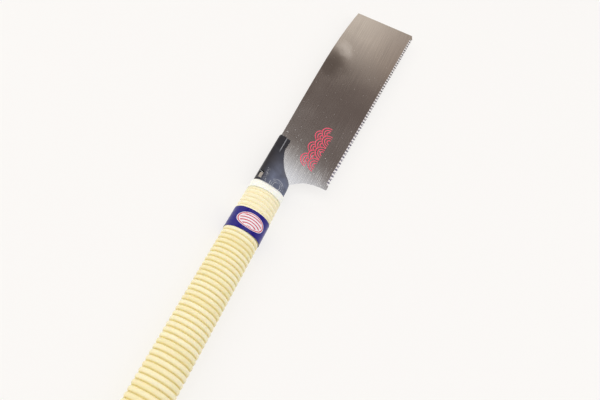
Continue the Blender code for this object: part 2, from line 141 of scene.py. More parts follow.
def fair_curve(at: np.ndarray, knots: np.ndarray, values: np.ndarray) -> np.ndarray:
    """A smooth curve through knots that never overshoots them.

    Each span is a cubic whose end slopes are the harmonic mean of the slopes on either side of its knot, and
    zero where those differ in sign.

    Args:
        at: where the curve is read.
        knots: rising positions of the knots.
        values: the curve's value at each knot.

    Returns:
        The curve's value at each place.
    """
    step = np.diff(knots)
    slope = np.diff(values) / step
    product = slope[:-1] * slope[1:]
    total = slope[:-1] + slope[1:]
    inner = np.where(product > 0.0, 2.0 * product / np.where(total == 0.0, 1.0, total), 0.0)
    ends = np.concatenate([slope[:1], inner, slope[-1:]])
    span = np.clip(np.searchsorted(knots, at) - 1, 0, len(step) - 1)
    wide = step[span]
    share = np.clip((at - knots[span]) / wide, 0.0, 1.0)
    rest = 1.0 - share
    return (
        values[span] * rest * rest * (1.0 + 2.0 * share)
        + values[span + 1] * share * share * (1.0 + 2.0 * rest)
        + wide * share * rest * (ends[span] * rest - ends[span + 1] * share)
    )


def feed(node: bpy.types.Node, inputs: Feed) -> None:
    """Sets or links inputs of a node.

    Args:
        node: the node.
        inputs: a value, an sRGB hex colour or another node's output for each input, by name or number, or in
            the order of the inputs.
    """
    pairs = inputs.items() if isinstance(inputs, Mapping) else enumerate(inputs)
    for key, value in pairs:
        socket = node.inputs[key]
        if isinstance(value, bpy.types.NodeSocket):
            node.id_data.links.new(value, socket)
        else:
            socket.default_value = linear(value) if isinstance(value, str) else value


def add_node(
    tree: bpy.types.NodeTree, kind: str, inputs: Feed = (), out: str | int = 0, **settings: object
) -> bpy.types.NodeSocket:
    """Adds one node with its settings and links.

    Args:
        tree: the node tree that gets it.
        kind: the node's type, without the prefix ShaderNode.
        inputs: what its inputs get.
        out: the output that is used, by name or number.
        **settings: the node's own properties.

    Returns:
        That output.
    """
    node = tree.nodes.new("ShaderNode" + kind)
    for name, value in settings.items():
        setattr(node, name, value)
    feed(node, inputs)
    return node.outputs[out]


def start_material(name: str, constants: Feed) -> tuple[bpy.types.Material, AddNode, bpy.types.Node]:
    """A material with one Principled shader.

    Args:
        name: the material's name.
        constants: what is the same all over the surface, for the shader's sockets.

    Returns:
        The material, the function that adds a node to it, and the shader.
    """
    material = bpy.data.materials.new(name)
    material.use_nodes = True
    shader = material.node_tree.nodes["Principled BSDF"]
    feed(shader, constants)
    return material, partial(add_node, material.node_tree), shader


def new_piece(name: str, points: np.ndarray, faces: list[list[int]]) -> bpy.types.Object:
    """A mesh piece from points and faces.

    Args:
        name: the piece's name.
        points: one row of coordinates for each point.
        faces: the points of each face.

    Returns:
        The object, linked to the scene, with its place in its mesh.
    """
    mesh = bpy.data.meshes.new(name)
    mesh.from_pydata(points.tolist(), [], faces)
    piece = bpy.data.objects.new(name, mesh)
    bpy.context.scene.collection.objects.link(piece)
    return piece


def grid_piece(
    name: str,
    points: np.ndarray,
    wrap: Wrap = Wrap.NONE,
    keep: np.ndarray | None = None,
    capped: bool = False,
    smooth_angle: float = 40.0,
) -> bpy.types.Object:
    """A mesh piece from a grid of points.

    Neighbouring points make four-sided faces. A closed shape whose signed volume, the sum of each face's
    corner . (edge x edge), is below zero is turned to face outwards.

    Args:
        name: the piece's name.
        points: rows by columns by 3 coordinates.
        wrap: which ends of the grid are joined.
        keep: a mask of the faces to keep, or None for all.
        capped: closes the first and the last row with one face each.
        smooth_angle: edges sharper than this many degrees stay sharp.

    Returns:
        The piece.
    """
    rows, columns = points.shape[:2]
    index = np.arange(rows * columns).reshape(rows, columns)
    ends = [index[0, ::-1].tolist(), index[-1].tolist()] if capped else []
    wrap_rows, wrap_columns = wrap.value
    if wrap_rows:
        index = np.vstack([index, index[:1]])
    if wrap_columns:
        index = np.hstack([index, index[:, :1]])
    quads = np.stack([index[:-1, :-1], index[:-1, 1:], index[1:, 1:], index[1:, :-1]], axis=-1)
    quads = quads[keep] if keep is not None else quads.reshape(-1, 4)
    flat = points.reshape(-1, 3)
    if wrap is not Wrap.NONE:
        first, second, third, fourth = (flat[quads[:, k]] for k in range(4))
        volume = np.sum(first * np.cross(second - first, third - first))
        volume += np.sum(first * np.cross(third - first, fourth - first))
        if volume < 0.0:
            quads = quads[:, ::-1]
            ends = [face[::-1] for face in ends]
    piece = new_piece(name, flat, quads.tolist() + ends)
    piece.data.validate()
    piece.data.shade_smooth()
    piece.data.set_sharp_from_angle(angle=math.radians(smooth_angle))
    return piece


def thicken(piece: bpy.types.Object, thickness: float, even: bool = False) -> None:
    """Gives a surface a thickness, half of it to each side.

    Args:
        piece: the surface.
        thickness: its thickness.
        even: keeps the thickness the same round bends.
    """
    wall = piece.modifiers.new("thickness", "SOLIDIFY")
    wall.thickness = thickness
    wall.offset = 0.0
    wall.use_even_offset = even


def tag_points(piece: bpy.types.Object, name: str, values: np.ndarray) -> None:
    """Stores one number for each point of a piece, for its material to read."""
    stored = piece.data.attributes.new(name, "FLOAT", "POINT")
    stored.data.foreach_set("value", values.ravel().astype(np.float32))


def lay_out(piece: bpy.types.Object, name: str, across: np.ndarray, along: np.ndarray) -> None:
    """Gives a piece a UV map.

    Args:
        piece: the piece.
        name: the map's name.
        across: the first number of each point.
        along: the second number of each point.
    """
    corners = np.empty(len(piece.data.loops), dtype=np.int32)
    piece.data.loops.foreach_get("vertex_index", corners)
    pairs = np.column_stack([across.ravel(), along.ravel()])[corners]
    piece.data.uv_layers.new(name=name).data.foreach_set("uv", pairs.ravel().astype(np.float32))


def repaint(piece: bpy.types.Object, material: bpy.types.Material) -> None:
    """Gives a piece, new or from the frame, its finish.

    Args:
        piece: the piece.
        material: its finish.
    """
    piece.data.materials.clear()
    piece.data.materials.append(material)
    LOG.info("%s: %d faces in %s", piece.name, len(piece.data.polygons), material.name)


def dress(
    piece: bpy.types.Object, material: bpy.types.Material, body: Body, slot: Slot, *replaced: str
) -> None:
    """Gives a new piece its finish, its body and the frame's nodes that it stands for.

    Args:
        piece: the new piece.
        material: its finish.
        body: the body that it moves with.
        slot: the record's material slot for it; not used.
        *replaced: nodes of the frame that it stands for.
    """
    repaint(piece, material)
    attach(piece, body.value)
    if replaced:
        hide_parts(*replaced)


@dataclass(frozen=True)
class BrushedSpringSteel:
    """Cold-rolled spring steel, ground and brushed along the blade, with filed and hardened teeth.

    The eye gets a satin grey with long hairlines, a heel painted brighter as a painted reflection, with
    handling scratches and pale specks, a soft darker patch and a paler one toward the tip that are painted
    reflections, and bright filed teeth in turn with dark teeth that keep the violet of quick heating, their
    turns partly painted light and shade of the set teeth.
    """

    steel: str = "#cecac6"
    reflected_bright: str = "#e4e5e9"
    worn: str = "#ffffff"
    filed: str = "#f2eff1"
    tooth: str = "#2b2058"
    cool_tooth: str = "#3a3536"
    # Noises: length and width of their features in mm, turn and detail.
    hairs: tuple[float, ...] = (70.0, 0.5, 0.0, 4.0)
    scratches: tuple[float, ...] = (26.0, 0.45, 0.05, 3.0)
    specks: tuple[float, ...] = (2.4, 1.1, 0.3, 2.0)
    # Marks: the noise that shows them far from the heel and at it, their softness and strength.
    scratch_marks: tuple[float, ...] = (0.74, 0.57, 0.08, 0.65)
    speck_marks: tuple[float, ...] = (0.725, 0.650, 0.03, 0.8)
    # Places along the blade where each change starts and is complete.
    reflected_bright_x: Pair = (0.345, 0.305)
    marked_x: Pair = (0.395, 0.305)
    cooled_x: Pair = (0.350, 0.470)
    # Painted reflections: colour, middle, outer and inner radius and strength.
    reflection_patches: tuple[tuple[str, Point, float, float, float], ...] = (
        ("#98918b", (0.464, 0.006, 0.0), 24.0 * MM, 4.0 * MM, 0.75),
        ("#ffffff", (0.491, 0.003, 0.0), 15.0 * MM, 2.0 * MM, 0.5),
    )
    reflection_patch_mm: float = 24.0
    reflection_patch_reach: Point = (36.0 * MM, 20.0 * MM, 0.0)
    hair_shade: Pair = (0.84, 1.08)
    cloud_mm: float = 45.0
    gloss: Pair = (0.10, 0.16)
    mark_dulls: float = 0.35
    filed_dulls: float = 0.42
    filed_metal: float = 0.2
    # The row of teeth: its start, the direction along it, the direction into the blade and half its length.
    row_start: Point = (HANDLE_LENGTH + 38.5 * MM, -47.2 * MM, 0.0)
    row_run: Point = (0.9982, -0.0600, 0.0)
    row_rise: Point = (0.0600, 0.9982, 0.0)
    row_half: float = 125.2 * MM
    # Heights above the tips between which the strip of teeth ends.
    strip_rise: Pair = (3.0 * MM, 2.7 * MM)
    # Dark skin, partly painted shade of the set teeth: half its pitch, the height that shapes it, half the
    # bright gap at the tips and at that height, the blur of its rim, and the heights and strengths between
    # which it fades.
    skin_and_shade_half_pitch: float = 2.25 * MM
    skin_and_shade_height: float = 2.6 * MM
    skin_and_shade_gap: Pair = (0.55 * MM, 1.35 * MM)
    skin_and_shade_blur: float = 0.15 * MM
    skin_and_shade_fade: tuple[float, ...] = (1.0 * MM, 2.8 * MM, 1.0, 0.85)

    def make(self) -> bpy.types.Material:
        """Builds the material.

        Returns:
            The blade's steel.
        """
        material, add, shader = start_material("brushed_spring_steel", {"Metallic": 1.0})
        place = add("TexCoord", out="Object")
        x = add("SeparateXYZ", (place,))
        # Noises drawn out along the blade. The hairlines are half a millimetre across, which is coarser than
        # real ones.
        noises = []
        for long, wide, turn, detail in (self.hairs, self.scratches, self.specks):
            scale = (per_metre(long), per_metre(wide), 1.0)
            drawn = add("Mapping", {"Vector": place, "Rotation": (0.0, 0.0, turn), "Scale": scale})
            noises.append(add("TexNoise", {"Vector": drawn, "Scale": 1.0, "Detail": detail}))
        hair, line, spot = noises
        # Ground: the heel is painted brighter, a painted reflection, and the rest is greyer, all under the
        # hairlines.
        heel_reflection = add("MapRange", (x, *self.reflected_bright_x), **SOFT)
        ground = add("Mix", {0: heel_reflection, 6: self.steel, 7: self.reflected_bright}, **BLEND)
        shade = add("MapRange", (hair, *MIDDLE, *self.hair_shade))
        colour = add("Mix", {0: 1.0, 6: ground, 7: shade}, blend_type="MULTIPLY", **BLEND)
        # Painted reflections: a soft dark patch beside a pale one, both with ragged outlines.
        rag = add("TexNoise", {"Vector": place, "Scale": per_metre(self.reflection_patch_mm), "Detail": 3.0}, "Color")
        moved = add("VectorMath", (rag, self.reflection_patch_reach, place), operation="MULTIPLY_ADD")
        half_reach = tuple(reach / 2 for reach in self.reflection_patch_reach)
        around = add("VectorMath", (moved, half_reach), operation="SUBTRACT")
        for tone, middle, outer, inner, strength in self.reflection_patches:
            far = add("VectorMath", (around, middle), "Value", operation="DISTANCE")
            patch = add("MapRange", (far, outer, inner, 0.0, strength), **SOFT)
            colour = add("Mix", {0: patch, 6: colour, 7: tone}, **BLEND)
        # Marks: scratches along the blade and irregular specks, many near the heel and few by the middle.
        heel = add("MapRange", (x, *self.marked_x), **SOFT)
        marks = []
        for noise, (few, many, soft, strength) in ((line, self.scratch_marks), (spot, self.speck_marks)):
            limit = add("MapRange", (heel, 0.0, 1.0, few, many))
            over = add("Math", (noise, limit), operation="SUBTRACT")
            marks.append(add("MapRange", (over, 0.0, soft, 0.0, strength)))
        mark = add("Math", marks, operation="MAXIMUM")
        colour = add("Mix", {0: mark, 6: colour, 7: self.worn}, **BLEND)
        # Teeth: bright filed facets and the dark hardened skin. On the real saw the teeth are set to either
        # side in turn and catch light and shade one by one, which is too fine to show, so the dark skin is
        # drawn on every third tooth,
        # wide at the tips and narrow at the roots: partly the hardened skin and partly painted shade of the
        # teeth set away from the light.
        local = add("VectorMath", (place, self.row_start), operation="SUBTRACT")
        run = add("VectorMath", (local, self.row_run), "Value", operation="DOT_PRODUCT")
        rise = add("VectorMath", (local, self.row_rise), "Value", operation="DOT_PRODUCT")
        cool = add("MapRange", (x, *self.cooled_x))
        heat = add("Mix", {0: cool, 6: self.tooth, 7: self.cool_tooth}, **BLEND)
        beat = add("Math", (run, self.skin_and_shade_half_pitch), operation="PINGPONG")
        start = add("MapRange", (rise, 0.0, self.skin_and_shade_height, *self.skin_and_shade_gap))
        inward = add("Math", (beat, start), operation="SUBTRACT")
        sharp = add("MapRange", (inward, 0.0, self.skin_and_shade_blur))
        depth = add("MapRange", (rise, *self.skin_and_shade_fade))
        # The dark skin on every third tooth is partly painted shade of the set teeth.
        skin = add("Math", (sharp, depth), operation="MULTIPLY")
        teeth = add("Mix", {0: skin, 6: self.filed, 7: heat}, **BLEND)
        strip = add("MapRange", (rise, *self.strip_rise))
        row = add("Math", (run, self.row_half, self.row_half), operation="COMPARE")
        band = add("Math", (strip, row), operation="MULTIPLY")
        colour = add("Mix", {0: band, 6: colour, 7: teeth}, **BLEND)
        # Gloss: handling leaves duller clouds some centimetres wide. Filed facets look every way and scatter
        # light as a matt surface does.
        metal = add("MapRange", (band, 0.0, 1.0, 1.0, self.filed_metal))
        cloud = add("TexNoise", {"Vector": place, "Scale": per_metre(self.cloud_mm), "Detail": 2.0})
        dull = add("MapRange", (cloud, *MIDDLE, *self.gloss))
        marred = add("Math", (mark, self.mark_dulls, dull), operation="MULTIPLY_ADD")
        rough = add("Math", (band, self.filed_dulls, marred), operation="MULTIPLY_ADD")
        bump = add("Bump", {"Height": hair, "Strength": 0.2, "Distance": 0.02 * MM})
        feed(shader, {"Base Color": colour, "Metallic": metal, "Roughness": rough, "Normal": bump})
        return material


@dataclass(frozen=True)
class StovedEnamel:
    """Blue-black enamel stoved on pressed sheet steel, scuffed by use.

    The eye gets a satin near-black along the fold that greys toward the collar and the teeth as a painted
    sheen where the cheek bulges, a painted highlight on the brow of the step along the jaws, thin bare edges
    and a few curved scratches where the blade is hooked in and out.
    """

    dark: str = "#18161f"
    bulge_sheen: str = "#687087"
    # Bare metal of the scratches and chips, also the colour of the painted highlight on the crease.
    scuff_and_highlight: str = "#bfc2c9"
    # Features of the three noises in mm, with their detail.
    broad: Pair = (9.0, 3.0)
    patchy: Pair = (3.0, 2.0)
    fine: Pair = (0.9, 4.0)
    # Places where the painted sheen starts and is complete, and the least share of it that the noise leaves.
    bulge_sheen_x: Pair = (HANDLE_LENGTH + 46.0 * MM, HANDLE_LENGTH + 8.0 * MM)
    bulge_sheen_y: Pair = (13.0 * MM, 2.0 * MM)
    bulge_sheen_least: float = 0.55
    # Rings: their middle, then the radius and half width of each.
    ring_middle: Point = (HANDLE_LENGTH + 2.4 * MM, -4.4 * MM, 0.0)
    rings: tuple[Pair, ...] = ((3.4 * MM, 0.18 * MM), (6.8 * MM, 0.2 * MM), (5.1 * MM, 0.18 * MM))
    # Flecks and crease: middle and half width, and where the crease starts and is complete.
    fleck_x: Pair = (HANDLE_LENGTH + 8.0 * MM, 8.0 * MM)
    fleck_y: Pair = (7.6 * MM, 1.9 * MM)
    crease_y: Pair = (7.7 * MM, 0.38 * MM)
    crease_x: Pair = (HANDLE_LENGTH + 38.0 * MM, HANDLE_LENGTH + 43.0 * MM)
    crease_strength: float = 0.55
    # Noise at which the rings and the chips start to show and are complete, and the chips' reach from an
    # edge.
    ring_noise: Pair = (0.36, 0.52)
    chip_noise: Pair = (0.56, 0.70)
    chip_reach_mm: Pair = (0.5, 0.1)
    gloss: Pair = (0.30, 0.42)

    def make(self) -> bpy.types.Material:
        """Builds the material.

        Returns:
            The holder's paint.
        """
        material, add, shader = start_material("stoved_enamel", {"IOR": 1.5})
        place = add("TexCoord", out="Object")
        x, y, z = add("SeparateXYZ", (place,)).node.outputs
        broad, patchy, fine = (
            add("TexNoise", {"Vector": place, "Scale": per_metre(size), "Detail": detail})
            for size, detail in (self.broad, self.patchy, self.fine)
        )
        # Painted sheen: paler toward the collar and the teeth, where the cheek bulges.
        rear = add("MapRange", (x, *self.bulge_sheen_x))
        low = add("MapRange", (y, *self.bulge_sheen_y))
        both = add("Math", (rear, low), operation="MULTIPLY")
        cloud = add("MapRange", (broad, *MIDDLE, self.bulge_sheen_least))
        painted_sheen = add("Math", (both, cloud), operation="MULTIPLY")
        paint = add("Mix", {0: painted_sheen, 6: self.dark, 7: self.bulge_sheen}, **BLEND)
        # Rings: three thin arcs round the hook, broken up by noise, on the upper cheek.
        across = add("VectorMath", (place, self.ring_middle), operation="SUBTRACT")
        level = add("VectorMath", (across, (1.0, 1.0, 0.0)), operation="MULTIPLY")
        reach = add("VectorMath", (level,), "Value", operation="LENGTH")
        wear_and_highlight = add("Math", (z, 0.0), operation="GREATER_THAN")
        arcs = [add("Math", (reach, *ring), operation="COMPARE") for ring in self.rings]
        some = add("Math", arcs[:2], operation="MAXIMUM")
        every = add("Math", (some, arcs[2]), operation="MAXIMUM")
        broken = add("MapRange", (patchy, *self.ring_noise))
        for part in (every, broken):
            wear_and_highlight = add("Math", (wear_and_highlight, part), operation="MULTIPLY")
        # Crease: the brow of the pressed step along the jaws is painted lighter, a painted highlight.
        brow = add("Math", (y, *self.crease_y), operation="COMPARE")
        jaw = add("MapRange", (x, *self.crease_x, 0.0, self.crease_strength))
        crease_highlight = add("Math", (brow, jaw), operation="MULTIPLY")
        # Flecks: bare metal in chips along the sheet's own edge and beside the window.
        edge = add("Attribute", out="Fac", attribute_name="edge_mm")
        near = add("MapRange", (edge, *self.chip_reach_mm))
        below = add("Math", (y, *self.fleck_y), operation="COMPARE")
        beside = add("Math", (x, *self.fleck_x), operation="COMPARE")
        zone = add("Math", (below, beside), operation="MULTIPLY")
        worn = add("Math", (near, zone), operation="MAXIMUM")
        chip = add("MapRange", (fine, *self.chip_noise))
        bare = add("Math", (worn, chip), operation="MULTIPLY")
        for part in (crease_highlight, bare):
            wear_and_highlight = add("Math", (wear_and_highlight, part), operation="MAXIMUM", use_clamp=True)
        colour = add("Mix", {0: wear_and_highlight, 6: paint, 7: self.scuff_and_highlight}, **BLEND)
        rough = add("MapRange", (broad, *MIDDLE, *self.gloss))
        bump = add("Bump", {"Height": fine, "Strength": 0.15, "Distance": 0.03 * MM})
        feed(shader, {"Base Color": colour, "Roughness": rough, "Normal": bump})
        return material


@dataclass(frozen=True)
class ExtrudedVinyl:
    """Cream PVC cord, extruded half round and wound tight.

    The eye gets smooth waxy ridges with a soft shine, a warmer tone down their flanks that is painted shade,
    the bottoms of the grooves painted a little paler as painted light, and a paler stretch near the collar.
    """

    ridge: str = "#f5ebbe"
    pale: str = "#f9f2d0"
    flank_shade: str = "#ebdb9a"
    groove: str = "#efe3ac"
    collar_pale: str = "#fbf3d2"
    # Where each tone starts and is complete: by noise, by depth in the groove and by place.
    pale_noise: Pair = (0.35, 0.65)
    flank_depth: Pair = (0.0, 0.8)
    groove_depth: Pair = (0.70, 1.0)
    collar_pale_x: Pair = (HANDLE_LENGTH - 72.0 * MM, HANDLE_LENGTH - 28.0 * MM)
    collar_pale_most: float = 0.92
    wax_mm: float = 4.0
    skin_mm: float = 0.8
    gloss: Pair = (0.22, 0.34)

    def make(self) -> bpy.types.Material:
        """Builds the material.

        Returns:
            The winding's vinyl.
        """
        material, add, shader = start_material("extruded_vinyl", {
            "IOR": 1.53,
            "Specular IOR Level": 0.2,
            "Subsurface Weight": 0.12,
            "Subsurface Radius": (1.6 * MM, 1.1 * MM, 0.5 * MM),
            "Subsurface Scale": 1.0,
        })
        place = add("TexCoord", out="Object")
        deep = add("Attribute", out="Fac", attribute_name="groove")
        turn = add("Attribute", out="Fac", attribute_name="turn")
        # Each stretch of cord differs a little in tone. The flanks are painted yellower than the crown, a
        # painted shade that rounds each turn, the bottoms of the grooves are painted a little paler, painted
        # light that softens their shade, and toward the collar the colour turns paler.
        tone = add("TexNoise", {"W": turn, "Scale": 1.3, "Detail": 1.0}, noise_dimensions="1D")
        light = add("MapRange", (tone, *self.pale_noise))
        slope = add("MapRange", (deep, *self.flank_depth), **SOFT)
        # The bottoms of the grooves are painted paler again, painted light that softens their shade.
        groove_light = add("MapRange", (deep, *self.groove_depth), **SOFT)
        x = add("SeparateXYZ", (place,))
        near_collar = add("MapRange", (x, *self.collar_pale_x, 0.0, self.collar_pale_most), **SOFT)
        colour = self.ridge
        layers = ((light, self.pale), (slope, self.flank_shade), (groove_light, self.groove), (near_collar, self.collar_pale))
        for share, other in layers:
            colour = add("Mix", {0: share, 6: colour, 7: other}, **BLEND)
        wax = add("TexNoise", {"Vector": place, "Scale": per_metre(self.wax_mm), "Detail": 3.0})
        rough = add("MapRange", (wax, *MIDDLE, *self.gloss))
        skin = add("TexNoise", {"Vector": place, "Scale": per_metre(self.skin_mm), "Detail": 2.0})
        bump = add("Bump", {"Height": skin, "Strength": 0.06, "Distance": 0.03 * MM})
        feed(shader, {"Base Color": colour, "Roughness": rough, "Normal": bump})
        return material


@dataclass(frozen=True)
class MouldedPlastic:
    """Cream ABS, injection moulded with a fine satin skin.

    The eye gets an even white with a broad soft shine and hardly any texture.
    """

    colour: str = "#fbfef8"
    aged: str = "#f6f8ec"
    aged_noise: Pair = (0.4, 0.75)
    cloud_mm: float = 11.0
    skin_mm: float = 0.5
    gloss: Pair = (0.30, 0.40)

    def make(self) -> bpy.types.Material:
        """Builds the material.

        Returns:
            The plastic of the collar and the cap.
        """
        material, add, shader = start_material("moulded_plastic", {
            "IOR": 1.53,
            "Subsurface Weight": 0.1,
            "Subsurface Radius": (1.5 * MM, 1.1 * MM, 0.7 * MM),
            "Subsurface Scale": 1.0,
        })
        place = add("TexCoord", out="Object")
        cloud = add("TexNoise", {"Vector": place, "Scale": per_metre(self.cloud_mm), "Detail": 3.0})
        fade = add("MapRange", (cloud, *self.aged_noise))
        colour = add("Mix", {0: fade, 6: self.colour, 7: self.aged}, **BLEND)
        rough = add("MapRange", (cloud, *MIDDLE, *self.gloss))
        skin = add("TexNoise", {"Vector": place, "Scale": per_metre(self.skin_mm), "Detail": 2.0})
        bump = add("Bump", {"Height": skin, "Strength": 0.12, "Distance": 0.02 * MM})
        feed(shader, {"Base Color": colour, "Roughness": rough, "Normal": bump})
        return material


@dataclass(frozen=True)
class PrintedFilm:
    """Polypropylene film, printed royal blue, with a plain oval field.

    The eye gets a deep even blue under a smooth shine. The oval holds a few curved lines and nothing else.
    """

    blue: str = "#1b117c"
    white: str = "#efeaf2"
    red: str = "#c93a54"
    arc_mm: float = 91.0
    width_mm: float = 20.5
    oval_mm: Pair = (12.0, 7.0)
    # Shares of the oval: the middle and half width of its edging, and the field that holds the lines.
    edging: Pair = (0.90, 0.045)
    core: float = 0.78
    # Curved lines: the middle of their rings, how much these are squashed, and their spacing and half width.
    line_middle_mm: Point = (0.0, -6.5, 0.0)
    line_squash: Point = (0.55, 1.0, 0.0)
    line_mm: Pair = (2.4, 0.42)
    ripple_mm: float = 6.0

    def make(self) -> bpy.types.Material:
        """Builds the material.

        Returns:
            The band's film.
        """
        material, add, shader = start_material(
            "printed_film", {"IOR": 1.5, "Specular IOR Level": 0.4, "Roughness": 0.25}
        )
        flat = add("UVMap", uv_map="film")
        size = (self.arc_mm, self.width_mm, 1.0)
        corner = (-0.5 * self.arc_mm, -0.5 * self.width_mm, 0.0)
        sized = add("Mapping", {"Vector": flat, "Location": corner, "Scale": size})
        # Oval: the length of (u / half length, v / half height) is 1 on its rim.
        squeeze = (1.0 / self.oval_mm[0], 1.0 / self.oval_mm[1], 0.0)
        squeezed = add("VectorMath", (sized, squeeze), operation="MULTIPLY")
        rim = add("VectorMath", (squeezed,), "Value", operation="LENGTH")
        inside = add("Math", (rim, 1.0), operation="LESS_THAN")
        edging = add("Math", (rim, *self.edging), operation="COMPARE")
        # Curved lines: rings round a point under the oval.
        moved = add("VectorMath", (sized, self.line_middle_mm), operation="SUBTRACT")
        level = add("VectorMath", (moved, self.line_squash), operation="MULTIPLY")
        ring = add("VectorMath", (level,), "Value", operation="LENGTH")
        spacing, half = self.line_mm
        beat = add("Math", (ring, spacing), operation="MODULO")
        line = add("Math", (beat, spacing / 2, half), operation="COMPARE")
        core = add("Math", (rim, self.core), operation="LESS_THAN")
        curved = add("Math", (line, core), operation="MULTIPLY")
        red = add("Math", (curved, edging), operation="MAXIMUM")
        field = add("Mix", {0: inside, 6: self.blue, 7: self.white}, **BLEND)
        colour = add("Mix", {0: red, 6: field, 7: self.red}, **BLEND)
        place = add("TexCoord", out="Object")
        ripple = add("TexNoise", {"Vector": place, "Scale": per_metre(self.ripple_mm), "Detail": 2.0})
        bump = add("Bump", {"Height": ripple, "Strength": 0.3, "Distance": 0.08 * MM})
        feed(shader, {"Base Color": colour, "Normal": bump})
        return material


@dataclass(frozen=True)
class ScreenInk:
    """Red enamel ink, screen printed on steel and rubbed thin in places.

    The eye gets a flat coral red that lets the steel through where the blade has rubbed in the cut.
    """

    ink: str = "#ee5272"
    thin: str = "#cf6474"
    thin_noise: Pair = (0.50, 0.68)
    rub_mm: Pair = (6.0, 1.2)
    gloss: Pair = (0.62, 0.80)

    def make(self) -> bpy.types.Material:
        """Builds the material.

        Returns:
            The ink of the print.
        """
        material, add, shader = start_material("screen_ink", {"IOR": 1.5})
        scale = (per_metre(self.rub_mm[0]), per_metre(self.rub_mm[1]), 1.0)
        drawn = add("Mapping", {"Vector": add("TexCoord", out="Object"), "Scale": scale})
        patch = add("TexNoise", {"Vector": drawn, "Scale": 1.0, "Detail": 3.0})
        thin = add("MapRange", (patch, *self.thin_noise))
        colour = add("Mix", {0: thin, 6: self.ink, 7: self.thin}, **BLEND)
        rough = add("MapRange", (patch, 0.0, 1.0, *self.gloss))
        feed(shader, {"Base Color": colour, "Roughness": rough})
        return material


@dataclass(frozen=True)
class DrawnWire:
    """Bare mild steel wire for pins, nails and bushes, drawn and cut.

    The eye gets a grey metal with fine lines along it and a dull end.
    """

    steel: str = "#d2cfca"
    stained: str = "#a29a92"
    line_mm: Pair = (0.3, 3.0)
    gloss: Pair = (0.30, 0.50)

    def make(self) -> bpy.types.Material:
        """Builds the material.

        Returns:
            The steel of the small pins.
        """
        material, add, shader = start_material("drawn_wire", {"Metallic": 1.0})
        across, along = (per_metre(size) for size in self.line_mm)
        scale = (across, across, along)
        drawn = add("Mapping", {"Vector": add("TexCoord", out="Object"), "Scale": scale})
        line = add("TexNoise", {"Vector": drawn, "Scale": 1.0, "Detail": 3.0})
        colour = add("Mix", {0: line, 6: self.steel, 7: self.stained}, **BLEND)
        rough = add("MapRange", (line, 0.0, 1.0, *self.gloss))
        feed(shader, {"Base Color": colour, "Roughness": rough})
        return material


@dataclass(frozen=True)
class PlanedPine:
    """Planed softwood, left raw under the winding.

    The eye gets straight brown grain lines along the stick on a pale yellow ground.
    """

    early: str = "#d9b27c"
    late: str = "#a8743f"
    late_noise: Pair = (0.42, 0.62)
    grain_mm: Point = (90.0, 2.6, 5.0)

    def make(self) -> bpy.types.Material:
        """Builds the material.

        Returns:
            The core's wood.
        """
        material, add, shader = start_material("planed_pine", {"IOR": 1.5, "Roughness": 0.65})
        scale = tuple(per_metre(size) for size in self.grain_mm)
        drawn = add("Mapping", {"Vector": add("TexCoord", out="Object"), "Scale": scale})
        ring = add("TexNoise", {"Vector": drawn, "Scale": 1.0, "Detail": 4.0, "Distortion": 0.4})
        band = add("MapRange", (ring, *self.late_noise))
        colour = add("Mix", {0: band, 6: self.early, 7: self.late}, **BLEND)
        bump = add("Bump", {"Height": band, "Strength": 0.2, "Distance": 0.08 * MM})
        feed(shader, {"Base Color": colour, "Normal": bump})
        return material


